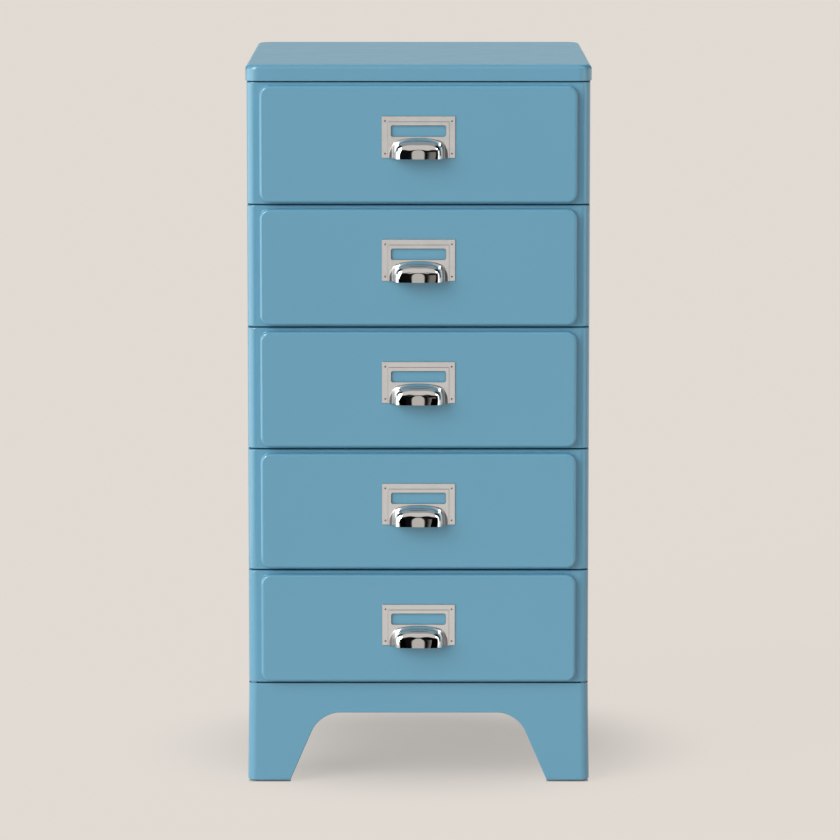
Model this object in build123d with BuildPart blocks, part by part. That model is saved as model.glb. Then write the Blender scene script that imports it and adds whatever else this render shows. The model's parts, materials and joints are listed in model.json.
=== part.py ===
from build123d import *
from math import atan, cos, degrees, radians, sqrt, tan
import os

# Small pressed-steel drawer cabinet: a folded case on a bracket-foot plinth, with a
# pan lid and five drawers that run on folded channels. Millimetres, +Z up, drawers
# open towards -Y. The origin is on the floor, in the middle of the overall box.

# ---------------------------------------------------------------- driving dimensions
body_width = 340.0  # across the drawer fronts
body_depth = 398.0  # drawer border face to the back of the case
plinth_seam = 101.0  # floor to the middle of the seam under the lowest drawer
drawer_count = 5
drawer_pitch = 122.0  # seam to seam
low_drawer_pitch = 114.5  # the lowest drawer is a little shallower
seam_gap = 1.2  # open gap between neighbouring fronts

# Lid
lid_height = 16.0
lid_sheet = 1.2
lid_fit = 0.2  # skirt to case
lid_corner_radius = 14.0
lid_edge_radius = 5.0
lid_front_overhang = 2.0  # in front of the drawer border face
lid_lip_depth = 12.0

# Case
case_sheet = 1.0
case_corner_radius = 12.5  # rear corners, in plan
case_edge_radius = 3.9  # bend at the top of the sides
case_flange = 26.0  # width of the sides' top, bottom and rear returns
hem_depth = 12.0
hem_sheet = 1.2
front_clearance = 1.2  # behind the closed drawer fronts
back_sheet = 0.8
back_panel_inset = 12.5  # edge of the back panel to the outside of the case
back_swage_rise = 0.8
back_swage_margin = 28.0
back_swage_chamfer = 9.0
floor_sheet = 1.0
floor_upstand = 5.0
panel_clearance = 0.2
inner_flat_share = 0.73  # hidden inner corners are flats of this share of their radius

# Cross rails behind the seams
rail_height = 12.0
rail_depth = 18.0
rail_sheet = 1.0

# Drawer fronts
front_corner_radius = 9.0
front_flange = 16.0  # border face to rear rim
front_sheet = 1.0
raised_side_margin = 13.0
raised_top_margin = 3.8  # from the middle of the seam above
raised_bottom_margin = 2.5  # from the middle of the seam below
raised_rise = 8.0
raised_corner_radius = 9.5
raised_edge_radius = 3.0
liner_sheet = 0.8
liner_flange = 6.0
liner_fit = 0.15

# Drawer trays and their runners
tray_sheet = 0.8
tray_length = 362.0
tray_floor_gap = 9.0  # seam below to the tray's underside
tray_head_gap = 11.0  # seam above to the tray's top flange
tray_side_clearance = 1.5
runner_sheet = 1.2
runner_reach = 11.0  # from the side panel inwards
runner_room = 8.0  # clear height in the channel
runner_end_gap = 0.5
slide_gap = 0.3  # flange over the channel's lower leg, glide under its upper leg
glide_length = 30.0
glide_chamfer = 1.5
stop_clearance = 0.3

# Plinth
pad_height = 1.2
plinth_sheet = 1.2
plinth_flare = 1.5  # each side, from top to floor
plinth_ring_width = 26.0
arch_height = 70.3
arch_radius = 30.0
arch_slope = 23.5  # legs' inner edges, degrees from upright
front_foot_width = 42.0  # at the floor
side_foot_width = 46.0
arch_return = 10.0  # depth of the turned-in edge round each arch
pad_width = 24.0
pad_chamfer = 5.0
pad_inset = 21.0  # pad centre to the outside of the case

# Pull with label frame, stamped from one sheet. Heights are down from the plate's top.
pull_width = 73.0
pull_height = 41.5
pull_sheet = 0.9
pull_drop = 29.8  # raised panel's top edge to the plate's top edge
field_side_border = 5.9
field_top_border = 5.4
field_standoff = 1.0  # card slot behind the field
window_width = 54.3
window_height = 11.0
window_drop = 9.2
window_chamfer = 1.2
hood_height = 20.0
hood_reach = 15.4  # in front of the field
hood_half_width = 25.0
hood_flare = 4.5  # spread where the hood meets the field
hood_foot_height = 8.5  # seen from the front, the sides stand upright to here
hood_shoulder_half = 22.5  # and lean in to here
hood_shoulder_radius = 9.0  # where they meet the arched top
hood_nose_radius = 10.5  # seen from above
hood_crown = 3.9  # rise of the top's arc
hood_wall = 0.9
pin_radius = 0.8
pin_head_radius = 1.2
pin_head_height = 0.5
pin_clearance = 0.05
pin_tail = 2.0
pin_side_inset = 3.5  # from the plate's side edges
pin_end_inset = 4.3  # from the plate's bottom edge
pin_top_inset = 4.7

# Screws. Small shanks, heads and holes are six-sided, because there are so many.
small_round_sides = 6
screw_radius = 2.0
screw_head_radius = 4.0
screw_head_height = 2.2
screw_length = 9.0
screw_hole_clearance = 0.15
screw_side_inset = 18.0
screw_end_inset = 40.0
back_screw_radius = 1.7
back_screw_head_radius = 3.4
back_screw_head_height = 1.4
back_screw_length = 6.0
back_screw_inset = 19.0
back_screw_end = 30.0

# ---------------------------------------------------------------- derived places
drawer_pitches = [drawer_pitch] * (drawer_count - 1) + [low_drawer_pitch]
top_seam = plinth_seam + sum(drawer_pitches)
seams = [top_seam - sum(drawer_pitches[:k]) for k in range(drawer_count + 1)]

lid_overhang = lid_sheet + lid_fit
pull_reach = field_standoff + pull_sheet + hood_reach
total_depth = pull_reach + raised_rise + body_depth + lid_overhang
front_y = pull_reach + raised_rise - total_depth / 2
back_y = front_y + body_depth
middle_y = (front_y + back_y) / 2
raised_y = front_y - raised_rise
rim_y = front_y + front_flange

lid_bottom = top_seam + seam_gap / 2
lid_top = lid_bottom + lid_height
lid_width = body_width + 2 * lid_overhang
lid_front = front_y - lid_front_overhang
lid_back = back_y + lid_overhang
lid_depth = lid_back - lid_front
lid_middle = (lid_front + lid_back) / 2

case_front = rim_y + front_clearance
case_top = lid_top - lid_sheet
plinth_top = plinth_seam - seam_gap / 2
case_bottom = plinth_top
case_height = case_top - case_bottom
case_half = body_width / 2
case_inner = case_half - case_sheet
hem_inner = case_inner - hem_sheet
rail_back = case_front + rail_depth

runner_front = rail_back + runner_end_gap
runner_inner = case_inner - runner_reach
tray_half = runner_inner - tray_side_clearance
flange_half = case_inner - runner_sheet - tray_side_clearance
tray_back = rim_y + tray_length
glide_front = tray_back - glide_length
slide_travel = glide_front - (runner_front + runner_sheet) - stop_clearance

os.makedirs("parts", exist_ok=True)


def save(piece, name):
    """Labels one finished piece and writes it as its own file."""
    piece.label = name
    export_step(piece, f"parts/{name}.step")


def bend_flat(radius):
    """The 45 degree chamfer that touches a bend of this radius at its middle."""
    return (2 - sqrt(2)) * radius


def inner_flat(radius):
    """The chamfer for the hidden inside of a rounded corner; its sheet stays over half thick."""
    return inner_flat_share * radius


# ---------------------------------------------------------------- lid
# A pressed pan: rounded corners, a rolled top edge and a turned-in lip along the
# front. Its skirt covers the top of the case.
with BuildPart() as lid_cavity:
    with BuildSketch(Plane.XY.offset(lid_bottom)):
        with Locations((0, lid_middle)):
            RectangleRounded(
                lid_width - 2 * lid_sheet,
                lid_depth - 2 * lid_sheet,
                lid_corner_radius - lid_sheet,
            )
    extrude(amount=lid_height - lid_sheet)
    chamfer(lid_cavity.edges().group_by(Axis.Z)[-1], bend_flat(lid_edge_radius - lid_sheet))
with BuildPart() as top_cover:
    with BuildSketch(Plane.XY.offset(lid_bottom)):
        with Locations((0, lid_middle)):
            RectangleRounded(lid_width, lid_depth, lid_corner_radius)
    extrude(amount=lid_height)
    fillet(top_cover.edges().group_by(Axis.Z)[-1], lid_edge_radius)
    add(lid_cavity.part, mode=Mode.SUBTRACT)
    with BuildSketch(Plane.XY.offset(lid_bottom)):
        with Locations((0, lid_front + lid_sheet + lid_lip_depth / 2)):
            Rectangle(lid_width - 2 * lid_corner_radius, lid_lip_depth)
    extrude(amount=lid_sheet)
save(top_cover.part, "top_cover")

# ---------------------------------------------------------------- case sides
# Each side is one sheet: the wall, a rounded top bend, the rear corner and the
# returns that carry the lid, the back and the floor. The front edge is hemmed.
with BuildPart() as case_shell:
    with BuildSketch(Plane.XY.offset(case_bottom)) as case_plan:
        with Locations((0, (case_front + back_y) / 2)):
            Rectangle(body_width, back_y - case_front)
        fillet(case_plan.vertices().group_by(Axis.Y)[-1], case_corner_radius)
    extrude(amount=case_height)
    top_bend = case_shell.edges().group_by(Axis.Z)[-1]
    bent = top_bend.filter_by(lambda e: e.center().Y > case_front + case_sheet)
    chamfer(bent, bend_flat(case_edge_radius))
    offset(amount=-case_sheet, openings=case_shell.faces().sort_by(Axis.Y)[0])

screw_places = [
    (sx * (case_half - screw_side_inset), y)
    for sx in (-1, 1)
    for y in (case_front + screw_end_inset, back_y - screw_end_inset)
]
back_screw_places = [
    (sx * (case_half - back_screw_inset), z)
    for sx in (-1, 1)
    for z in (
        case_bottom + back_screw_end,
        (case_bottom + case_top) / 2,
        case_top - back_screw_end,
    )
]


def make_side_panel(side):
    """Cuts one side out of the folded case and adds its hem; side is -1 or 1."""
    with BuildPart() as panel:
        add(case_shell.part)
        cutting_plane = Plane.YZ.offset(side * (case_half - case_flange))
        split(bisect_by=cutting_plane, keep=Keep.TOP if side > 0 else Keep.BOTTOM)
        with BuildSketch(Plane.XY.offset(case_bottom)):
            with Locations((side * (case_inner - hem_sheet / 2), case_front + hem_depth / 2)):
                Rectangle(hem_sheet, hem_depth)
        extrude(amount=case_height - case_edge_radius)
        with BuildSketch(Plane.XY.offset(case_bottom)):
            with Locations(*[place for place in screw_places if place[0] * side > 0]):
                RegularPolygon(screw_radius + screw_hole_clearance, small_round_sides)
        extrude(amount=case_sheet, mode=Mode.SUBTRACT)
        with BuildSketch(Plane.XZ.offset(-back_y)):
            with Locations(*[place for place in back_screw_places if place[0] * side > 0]):
                RegularPolygon(back_screw_radius + screw_hole_clearance, small_round_sides)
        extrude(amount=case_sheet, mode=Mode.SUBTRACT)
    return panel.part


save(make_side_panel(-1), "left_side_panel")
save(make_side_panel(1), "right_side_panel")

# ---------------------------------------------------------------- case back
# A flat sheet inside the rear returns, with a shallow pressed field that stiffens it
# and comes flush with them.
back_width = body_width - 2 * back_panel_inset
back_low = case_bottom + case_sheet + panel_clearance
back_high = case_top - case_edge_radius
back_centre = (back_low + back_high) / 2
back_outer = back_y - case_sheet
swage_width = body_width - 2 * (case_flange + back_swage_margin)
swage_height = back_high - back_low - 2 * back_swage_margin
with BuildPart() as back_panel:
    with BuildSketch(Plane.XZ.offset(-back_outer)):
        with Locations((0, back_centre)):
            Rectangle(back_width, back_high - back_low)
    extrude(amount=back_sheet)
    with BuildSketch(Plane.XZ.offset(-back_outer)) as swage:
        with Locations((0, back_centre)):
            Rectangle(swage_width, swage_height)
        chamfer(swage.vertices(), back_swage_chamfer)
    extrude(amount=-back_swage_rise)
    with BuildSketch(Plane.XZ.offset(-(back_outer - back_sheet))) as swage_inside:
        with Locations((0, back_centre)):
            Rectangle(swage_width - 2 * back_sheet, swage_height - 2 * back_sheet)
        chamfer(swage_inside.vertices(), back_swage_chamfer - back_sheet)
    extrude(amount=-back_swage_rise, mode=Mode.SUBTRACT)
    with BuildSketch(Plane.XZ.offset(-back_outer)):
        with Locations(*back_screw_places):
            RegularPolygon(back_screw_radius + screw_hole_clearance, small_round_sides)
    extrude(amount=back_sheet, mode=Mode.SUBTRACT)
save(back_panel.part, "back_panel")

# ---------------------------------------------------------------- case floor
# Lies on the sides' bottom returns; its front edge stands up as the lowest rail.
floor_low = case_bottom + case_sheet
floor_back = back_outer - back_sheet - panel_clearance
floor_half = hem_inner - panel_clearance
with BuildPart() as bottom_panel:
    with BuildSketch(Plane.XY.offset(floor_low)) as floor_plan:
        with Locations((0, (case_front + floor_back) / 2)):
            Rectangle(2 * floor_half, floor_back - case_front)
        fillet(floor_plan.vertices().group_by(Axis.Y)[-1], case_corner_radius)
    extrude(amount=floor_sheet)
    with BuildSketch(Plane.XY.offset(floor_low + floor_sheet)):
        with Locations((0, case_front + floor_sheet / 2)):
            Rectangle(2 * floor_half, floor_sheet)
    extrude(amount=floor_upstand)
    with BuildSketch(Plane.XY.offset(floor_low)):
        with Locations(*screw_places):
            RegularPolygon(screw_radius + screw_hole_clearance, small_round_sides)
    extrude(amount=floor_sheet, mode=Mode.SUBTRACT)
save(bottom_panel.part, "bottom_panel")


# ---------------------------------------------------------------- cross rails
def make_rail(low, high):
    """A channel across the case, open to the rear, between two heights."""
    with BuildPart() as rail:
        with BuildSketch(Plane.YZ.offset(-hem_inner)):
            with BuildLine():
                Polyline(
                    (rail_back, high),
                    (case_front, high),
                    (case_front, low),
                    (rail_back, low),
                    (rail_back, low + rail_sheet),
                    (case_front + rail_sheet, low + rail_sheet),
                    (case_front + rail_sheet, high - rail_sheet),
                    (rail_back, high - rail_sheet),
                    close=True,
                )
            make_face()
        extrude(amount=2 * hem_inner)
    return rail.part


save(make_rail(seams[0] - rail_height / 2, case_top - case_edge_radius), "top_rail")
for k in range(1, drawer_count):
    rail_low = seams[k] - rail_height / 2
    save(make_rail(rail_low, rail_low + rail_height), f"divider_rail_{k}")

# ---------------------------------------------------------------- plinth
# One pressed shell with rounded corners that spreads a little towards the floor. An
# arch in each wall leaves four bracket feet, closed underneath, and the edge of each
# arch is turned in. A ring at the top carries the case.
leg_half = case_half + plinth_flare
plinth_half_depth = body_depth / 2 + plinth_flare
slope_run = tan(radians(arch_slope))
plinth_draft = degrees(atan(plinth_flare / (plinth_top - pad_height)))


def plinth_plan(spread, inset):
    """The plinth's outline in plan, grown by spread, or its inner face, inset by the sheet."""
    with BuildSketch() as plan:
        with Locations((0, middle_y)):
            Rectangle(
                body_width + 2 * (spread - inset),
                body_depth + 2 * (spread - inset),
            )
        fillet(plan.vertices().group_by(Axis.Y)[0], front_corner_radius - inset)
        fillet(plan.vertices().group_by(Axis.Y)[-1], case_corner_radius - inset)
    return plan.sketch


def plinth_block(inset):
    """The plinth's outer form, or the space inside it, inset by the sheet."""
    with BuildPart() as block:
        with BuildSketch(Plane.XY.offset(plinth_top)):
            add(plinth_plan(0, inset))
        extrude(amount=pad_height + inset - plinth_top, taper=-plinth_draft)
    return block.part


def arch_outline(half_width, grow, low):
    """An arch with sloping sides and rounded top corners, grown outwards by grow."""
    side = half_width + grow / cos(radians(arch_slope))
    top = arch_height + grow
    with BuildSketch() as outline:
        with BuildLine():
            arch_path = FilletPolyline(
                (-(side - low * slope_run), low),
                (-(side - top * slope_run), top),
                (side - top * slope_run, top),
                (side - low * slope_run, low),
                radius=arch_radius + grow,
            )
            Line(arch_path @ 1, arch_path @ 0)
        make_face()
    return outline.sketch


def arch_edge(half_width):
    """The strip of sheet that follows the arch, seen square to its wall."""
    with BuildSketch() as strip:
        add(arch_outline(half_width, plinth_sheet, pad_height))
        add(arch_outline(half_width, 0, -pad_height), mode=Mode.SUBTRACT)
    return strip.sketch


def side_plane(x):
    """An upright plane across the width, centred on the case's depth."""
    return Plane(origin=(x, middle_y, 0), x_dir=(0, 1, 0), z_dir=(1, 0, 0))


pad_places = [
    (sx * (case_half - pad_inset), y)
    for sx in (-1, 1)
    for y in (front_y + pad_inset, back_y - pad_inset)
]
outer_plinth = plinth_block(0)
inner_plinth = plinth_block(plinth_sheet)
with BuildPart() as plinth:
    add(outer_plinth)
    add(inner_plinth, mode=Mode.SUBTRACT)
    with BuildSketch(Plane.XY.offset(plinth_top - plinth_sheet)):
        add(plinth_plan(0, 0))
        with Locations((0, middle_y)):
            Rectangle(
                body_width - 2 * plinth_ring_width,
                body_depth - 2 * plinth_ring_width,
                mode=Mode.SUBTRACT,
            )
    extrude(amount=plinth_sheet)
    front_arch_half = leg_half - front_foot_width
    side_arch_half = plinth_half_depth - side_foot_width
    with BuildSketch(Plane.XZ.offset(-middle_y)):
        add(arch_outline(front_arch_half, 0, -pad_height))
    extrude(amount=2 * plinth_half_depth, both=True, mode=Mode.SUBTRACT)
    with BuildSketch(side_plane(0)):
        add(arch_outline(side_arch_half, 0, -pad_height))
    extrude(amount=2 * leg_half, both=True, mode=Mode.SUBTRACT)
    for wall_y, inward in ((front_y - plinth_flare, -1), (back_y + plinth_flare, 1)):
        with BuildSketch(Plane.XZ.offset(-wall_y)):
            add(arch_edge(front_arch_half))
        extrude(amount=inward * (plinth_flare + arch_return))
    for wall_x, inward in ((-leg_half, 1), (leg_half, -1)):
        with BuildSketch(side_plane(wall_x)):
            add(arch_edge(side_arch_half))
        extrude(amount=inward * (plinth_flare + arch_return))
    add(outer_plinth, mode=Mode.INTERSECT)
    with BuildSketch(Plane.XY.offset(plinth_top - plinth_sheet)):
        with Locations(*screw_places):
            RegularPolygon(screw_radius + screw_hole_clearance, small_round_sides)
    extrude(amount=plinth_sheet, mode=Mode.SUBTRACT)
save(plinth.part, "plinth")

# Self-adhesive plastic pads under the feet.
with BuildPart() as foot_pads:
    with BuildSketch() as pads:
        with Locations(*pad_places):
            Rectangle(pad_width, pad_width)
        chamfer(pads.vertices(), pad_chamfer)
    extrude(amount=pad_height)
save(foot_pads.part, "foot_pads")

# ---------------------------------------------------------------- screws
floor_top = floor_low + floor_sheet
with BuildPart() as plinth_screws:
    with BuildSketch(Plane.XY.offset(floor_top)):
        with Locations(*screw_places):
            RegularPolygon(screw_head_radius, small_round_sides)
    extrude(amount=screw_head_height)
    with BuildSketch(Plane.XY.offset(floor_top)):
        with Locations(*screw_places):
            RegularPolygon(screw_radius, small_round_sides)
    extrude(amount=-screw_length)
save(plinth_screws.part, "plinth_screws")

with BuildPart() as back_screws:
    with BuildSketch(Plane.XZ.offset(-back_y)):
        with Locations(*back_screw_places):
            RegularPolygon(back_screw_head_radius, small_round_sides)
    extrude(amount=-back_screw_head_height)
    with BuildSketch(Plane.XZ.offset(-back_y)):
        with Locations(*back_screw_places):
            RegularPolygon(back_screw_radius, small_round_sides)
    extrude(amount=back_screw_length)
save(back_screws.part, "back_screws")


# ---------------------------------------------------------------- runners
def make_runner(side, flange_bottom):
    """A folded channel on one side panel, with a stop turned down at its front end."""
    low = flange_bottom - slide_gap - runner_sheet
    high = low + 2 * runner_sheet + runner_room
    web = side * case_inner
    lip = side * runner_inner
    with BuildPart() as runner:
        with BuildSketch(Plane.XZ.offset(-runner_front)):
            with BuildLine():
                Polyline(
                    (lip, low),
                    (web, low),
                    (web, high),
                    (lip, high),
                    (lip, high - runner_sheet),
                    (web - side * runner_sheet, high - runner_sheet),
                    (web - side * runner_sheet, low + runner_sheet),
                    (lip, low + runner_sheet),
                    close=True,
                )
            make_face()
        extrude(amount=-(tray_back - runner_front))
        stop_low = flange_bottom + tray_sheet + slide_gap
        with BuildSketch(Plane.XZ.offset(-runner_front)):
            with Locations((side * (runner_inner + runner_reach / 2), (stop_low + high) / 2)):
                Rectangle(runner_reach, high - stop_low)
        extrude(amount=-runner_sheet)
    return runner.part


# ---------------------------------------------------------------- drawer fronts
def front_cover(low, high, pin_points):
    """Pressed front: a border pan with wrapped corners and a raised panel."""
    raised_low = low - seam_gap / 2 + raised_bottom_margin
    raised_high = high + seam_gap / 2 - raised_top_margin
    raised_width = body_width - 2 * raised_side_margin
    raised_height = raised_high - raised_low
    raised_centre = (0, (raised_low + raised_high) / 2)
    with BuildPart() as cavity:
        with BuildSketch(Plane.XY.offset(low + front_sheet)) as border_inside:
            with Locations((0, (front_y + front_sheet + rim_y) / 2)):
                Rectangle(body_width - 2 * front_sheet, front_flange - front_sheet)
            front_corners = border_inside.vertices().group_by(Axis.Y)[0]
            chamfer(front_corners, inner_flat(front_corner_radius - front_sheet))
        extrude(amount=high - low - 2 * front_sheet)
        with BuildSketch(Plane.XZ.offset(-(front_y + front_sheet))) as raised_inside:
            with Locations(raised_centre):
                Rectangle(raised_width - 2 * front_sheet, raised_height - 2 * front_sheet)
            chamfer(raised_inside.vertices(), inner_flat(raised_corner_radius - front_sheet))
        extrude(amount=raised_rise)
        raised_edges = cavity.edges().group_by(Axis.Y)[0]
        chamfer(raised_edges, bend_flat(raised_edge_radius - front_sheet))
    with BuildPart() as cover:
        with BuildSketch(Plane.XY.offset(low)):
            with BuildLine():
                outer = FilletPolyline(
                    (-case_half, rim_y),
                    (-case_half, front_y),
                    (case_half, front_y),
                    (case_half, rim_y),
                    radius=front_corner_radius,
                )
                Line(outer @ 1, outer @ 0)
            make_face()
        extrude(amount=high - low)
        with BuildSketch(Plane.XZ.offset(-front_y)):
            with Locations(raised_centre):
                RectangleRounded(raised_width, raised_height, raised_corner_radius)
        extrude(amount=raised_rise)
        chamfer(cover.edges().group_by(Axis.Y)[0], bend_flat(raised_edge_radius))
        add(cavity.part, mode=Mode.SUBTRACT)
        with BuildSketch(Plane.XZ.offset(-raised_y)):
            with Locations(*pin_points):
                RegularPolygon(pin_radius + pin_clearance, small_round_sides)
        extrude(amount=-front_sheet, mode=Mode.SUBTRACT)
    return cover.part


def front_liner(low, high):
    """Inner skin that closes the back of a front and carries the tray."""
    half = case_half - front_sheet - liner_fit
    bottom = low + front_sheet + liner_fit
    top = high - front_sheet - liner_fit
    with BuildPart() as liner:
        with BuildSketch(Plane.XZ.offset(-rim_y)):
            with Locations((0, (bottom + top) / 2)):
                Rectangle(2 * half, top - bottom)
        extrude(amount=liner_sheet + liner_flange)
        offset(amount=-liner_sheet, openings=liner.faces().sort_by(Axis.Y)[0])
    return liner.part


# ---------------------------------------------------------------- trays and glides
def make_tray(low, high):
    """Folded tray, open at the top, with flanges along the sides that run in the channels."""
    with BuildPart() as tray:
        with BuildSketch(Plane.XY.offset(low)):
            with Locations((0, rim_y + tray_length / 2)):
                Rectangle(2 * tray_half, tray_length)
        extrude(amount=high - low)
        openings = [tray.faces().sort_by(Axis.Z)[-1], tray.faces().sort_by(Axis.Y)[0]]
        offset(amount=-tray_sheet, openings=openings)
        with BuildSketch(Plane.XY.offset(high)):
            flange_width = flange_half - tray_half + tray_sheet
            for side in (-1, 1):
                with Locations((side * (flange_half - flange_width / 2), rim_y + tray_length / 2)):
                    Rectangle(flange_width, tray_length)
        extrude(amount=-tray_sheet)
    return tray.part


def make_glides(flange_top):
    """Two nylon blocks on the rear ends of the flanges; they ride under the channels' tops."""
    glide_height = runner_room - slide_gap - tray_sheet - slide_gap
    glide_width = flange_half - runner_inner
    with BuildPart() as glides:
        with BuildSketch(Plane.XY.offset(flange_top)):
            for side in (-1, 1):
                with Locations((side * (flange_half - glide_width / 2), glide_front + glide_length / 2)):
                    Rectangle(glide_width, glide_length)
        extrude(amount=glide_height)
        chamfer(glides.edges().group_by(Axis.Z)[-1].filter_by(Axis.X), glide_chamfer)
    return glides.part


# ---------------------------------------------------------------- pulls
def hood_from_front(shrink):
    """The hood seen square to the plate: an arched top, sloping shoulders, a spread foot."""
    foot_half = hood_half_width + hood_flare
    shoulder = (hood_shoulder_half, hood_height - hood_crown)
    foot = (foot_half, hood_foot_height)
    base = -3 * shrink
    with BuildSketch() as outline:
        with BuildLine():
            Polyline(
                (-shoulder[0], shoulder[1]),
                (-foot[0], foot[1]),
                (-foot_half, base),
                (foot_half, base),
                foot,
                shoulder,
            )
            ThreePointArc(shoulder, (0, hood_height), (-shoulder[0], shoulder[1]))
        make_face()
        fillet(outline.vertices().group_by(Axis.Y)[-1], hood_shoulder_radius)
        if shrink:
            offset(amount=-shrink, kind=Kind.INTERSECTION)
    return outline.sketch


def hood_from_side(shrink):
    """The hood seen along the plate: an upright lip, then a quarter round to the plate."""
    reach = hood_reach - shrink
    top = hood_height - shrink
    with BuildSketch() as outline:
        with Locations(((reach - hood_wall) / 2, (top - shrink) / 2)):
            Rectangle(reach + hood_wall, top + shrink)
        fillet(outline.vertices().group_by(Axis.Y)[-1].sort_by(Axis.X)[-1], reach)
    return outline.sketch


def hood_from_above(shrink):
    """The hood seen from above: it spreads at the field and has a rounded nose."""
    half = hood_half_width - shrink
    reach = hood_reach - shrink
    waist = hood_flare - bend_flat(shrink)
    with BuildSketch() as outline:
        with BuildLine():
            Polyline(
                (-half, reach),
                (-half, waist),
                (-half - hood_flare, -shrink),
                (half + hood_flare, -shrink),
                (half, waist),
                (half, reach),
                close=True,
            )
        make_face()
        fillet(outline.vertices().group_by(Axis.Y)[-1], hood_nose_radius - shrink)
    return outline.sketch


def make_hood(lip_centre, shrink):
    """The hood as a closed form, common to three outlines; two of them leave its wall."""
    seen_from_front = hood_from_front(shrink)
    seen_from_side = hood_from_side(shrink)
    seen_from_above = hood_from_above(shrink)
    behind_field = lip_centre + Vector(0, shrink, 0)
    with BuildPart() as hood:
        with BuildSketch(Plane(behind_field, x_dir=(1, 0, 0), z_dir=(0, -1, 0))):
            add(seen_from_front)
        extrude(amount=hood_reach)
        with BuildSketch(Plane(lip_centre, x_dir=(0, -1, 0), z_dir=(-1, 0, 0))):
            add(seen_from_side)
        extrude(amount=hood_half_width + hood_flare, both=True, mode=Mode.INTERSECT)
        with BuildSketch(Plane(lip_centre, x_dir=(1, 0, 0), z_dir=(0, 0, -1))):
            add(seen_from_above)
        extrude(amount=hood_height, both=True, mode=Mode.INTERSECT)
    return hood.part


def make_pull(plate_top):
    """Label frame and cup pull in one stamping, standing on the raised panel."""
    face = Plane((0, raised_y, plate_top - pull_height), x_dir=(1, 0, 0), z_dir=(0, -1, 0))
    field_width = pull_width - 2 * field_side_border
    field_top = pull_height - field_top_border
    window_middle = pull_height - window_drop - window_height / 2
    lip_centre = Vector(0, raised_y - field_standoff - pull_sheet, plate_top - pull_height)
    outer_hood = make_hood(lip_centre, 0)
    inner_hood = make_hood(lip_centre, hood_wall)
    with BuildPart() as pull:
        with BuildSketch(face):
            with Locations((0, pull_height / 2)):
                Rectangle(pull_width, pull_height)
        extrude(amount=pull_sheet)
        with BuildSketch(face):
            with Locations((0, field_top / 2)):
                Rectangle(field_width, field_top)
        extrude(amount=field_standoff + pull_sheet)
        add(outer_hood)
        add(inner_hood, mode=Mode.SUBTRACT)
        with BuildSketch(face):
            with Locations((0, (field_top - pull_sheet) / 2)):
                Rectangle(field_width - 2 * pull_sheet, field_top - pull_sheet)
        extrude(amount=field_standoff, mode=Mode.SUBTRACT)
        with BuildSketch(face) as window:
            with Locations((0, window_middle)):
                Rectangle(window_width, window_height)
            chamfer(window.vertices(), window_chamfer)
        extrude(amount=field_standoff + pull_sheet, mode=Mode.SUBTRACT)
        with BuildSketch(face):
            with Locations(*pin_offsets):
                RegularPolygon(pin_radius + pin_clearance, small_round_sides)
        extrude(amount=pull_sheet, mode=Mode.SUBTRACT)
    return pull.part


pin_offsets = [
    (side * (pull_width / 2 - pin_side_inset), height)
    for side in (-1, 1)
    for height in (pin_end_inset, pull_height - pin_top_inset)
]


def make_pins(pin_points):
    """Four small pins that hold one plate to the raised panel."""
    with BuildPart() as pins:
        with BuildSketch(Plane.XZ.offset(-(raised_y - pull_sheet))):
            with Locations(*pin_points):
                RegularPolygon(pin_head_radius, small_round_sides)
        extrude(amount=pin_head_height)
        with BuildSketch(Plane.XZ.offset(-(raised_y - pull_sheet))):
            with Locations(*pin_points):
                RegularPolygon(pin_radius, small_round_sides)
        extrude(amount=-(pull_sheet + front_sheet + pin_tail))
    return pins.part


for number in range(1, drawer_count + 1):
    low = seams[number] + seam_gap / 2
    high = seams[number - 1] - seam_gap / 2
    plate_top = seams[number - 1] - raised_top_margin - pull_drop
    tray_low = seams[number] + tray_floor_gap
    tray_high = seams[number - 1] - tray_head_gap
    pin_points = [(x, plate_top - pull_height + z) for x, z in pin_offsets]
    save(make_runner(-1, tray_high - tray_sheet), f"left_runner_{number}")
    save(make_runner(1, tray_high - tray_sheet), f"right_runner_{number}")
    save(front_cover(low, high, pin_points), f"drawer_{number}_front")
    save(front_liner(low, high), f"drawer_{number}_inner_front")
    save(make_tray(tray_low, tray_high), f"drawer_{number}_tray")
    save(make_glides(tray_high), f"drawer_{number}_glides")
    save(make_pull(plate_top), f"drawer_{number}_pull")
    save(make_pins(pin_points), f"drawer_{number}_pull_pins")

print("drawer travel", round(slide_travel, 2))
print("front border face at Y", round(front_y, 2), "back at Y", round(back_y, 2))
print("lid top at Z", round(lid_top, 2))
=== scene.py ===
# %% [markdown]
# # A small metal drawer cabinet
#
# The cabinet is folded and pressed from thin sheet, sprayed with semi-gloss blue
# enamel, and has chromed label-frame pulls. Its solids are already made and packed.
# This lesson loads them as a fixed frame and puts finer pieces in place of the ones
# that show: pressed corners with real rounding, a smooth cupped pull, fine edges.
# Everything is in metres, Z up, with the drawers opening towards -Y.

import json
import math

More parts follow.
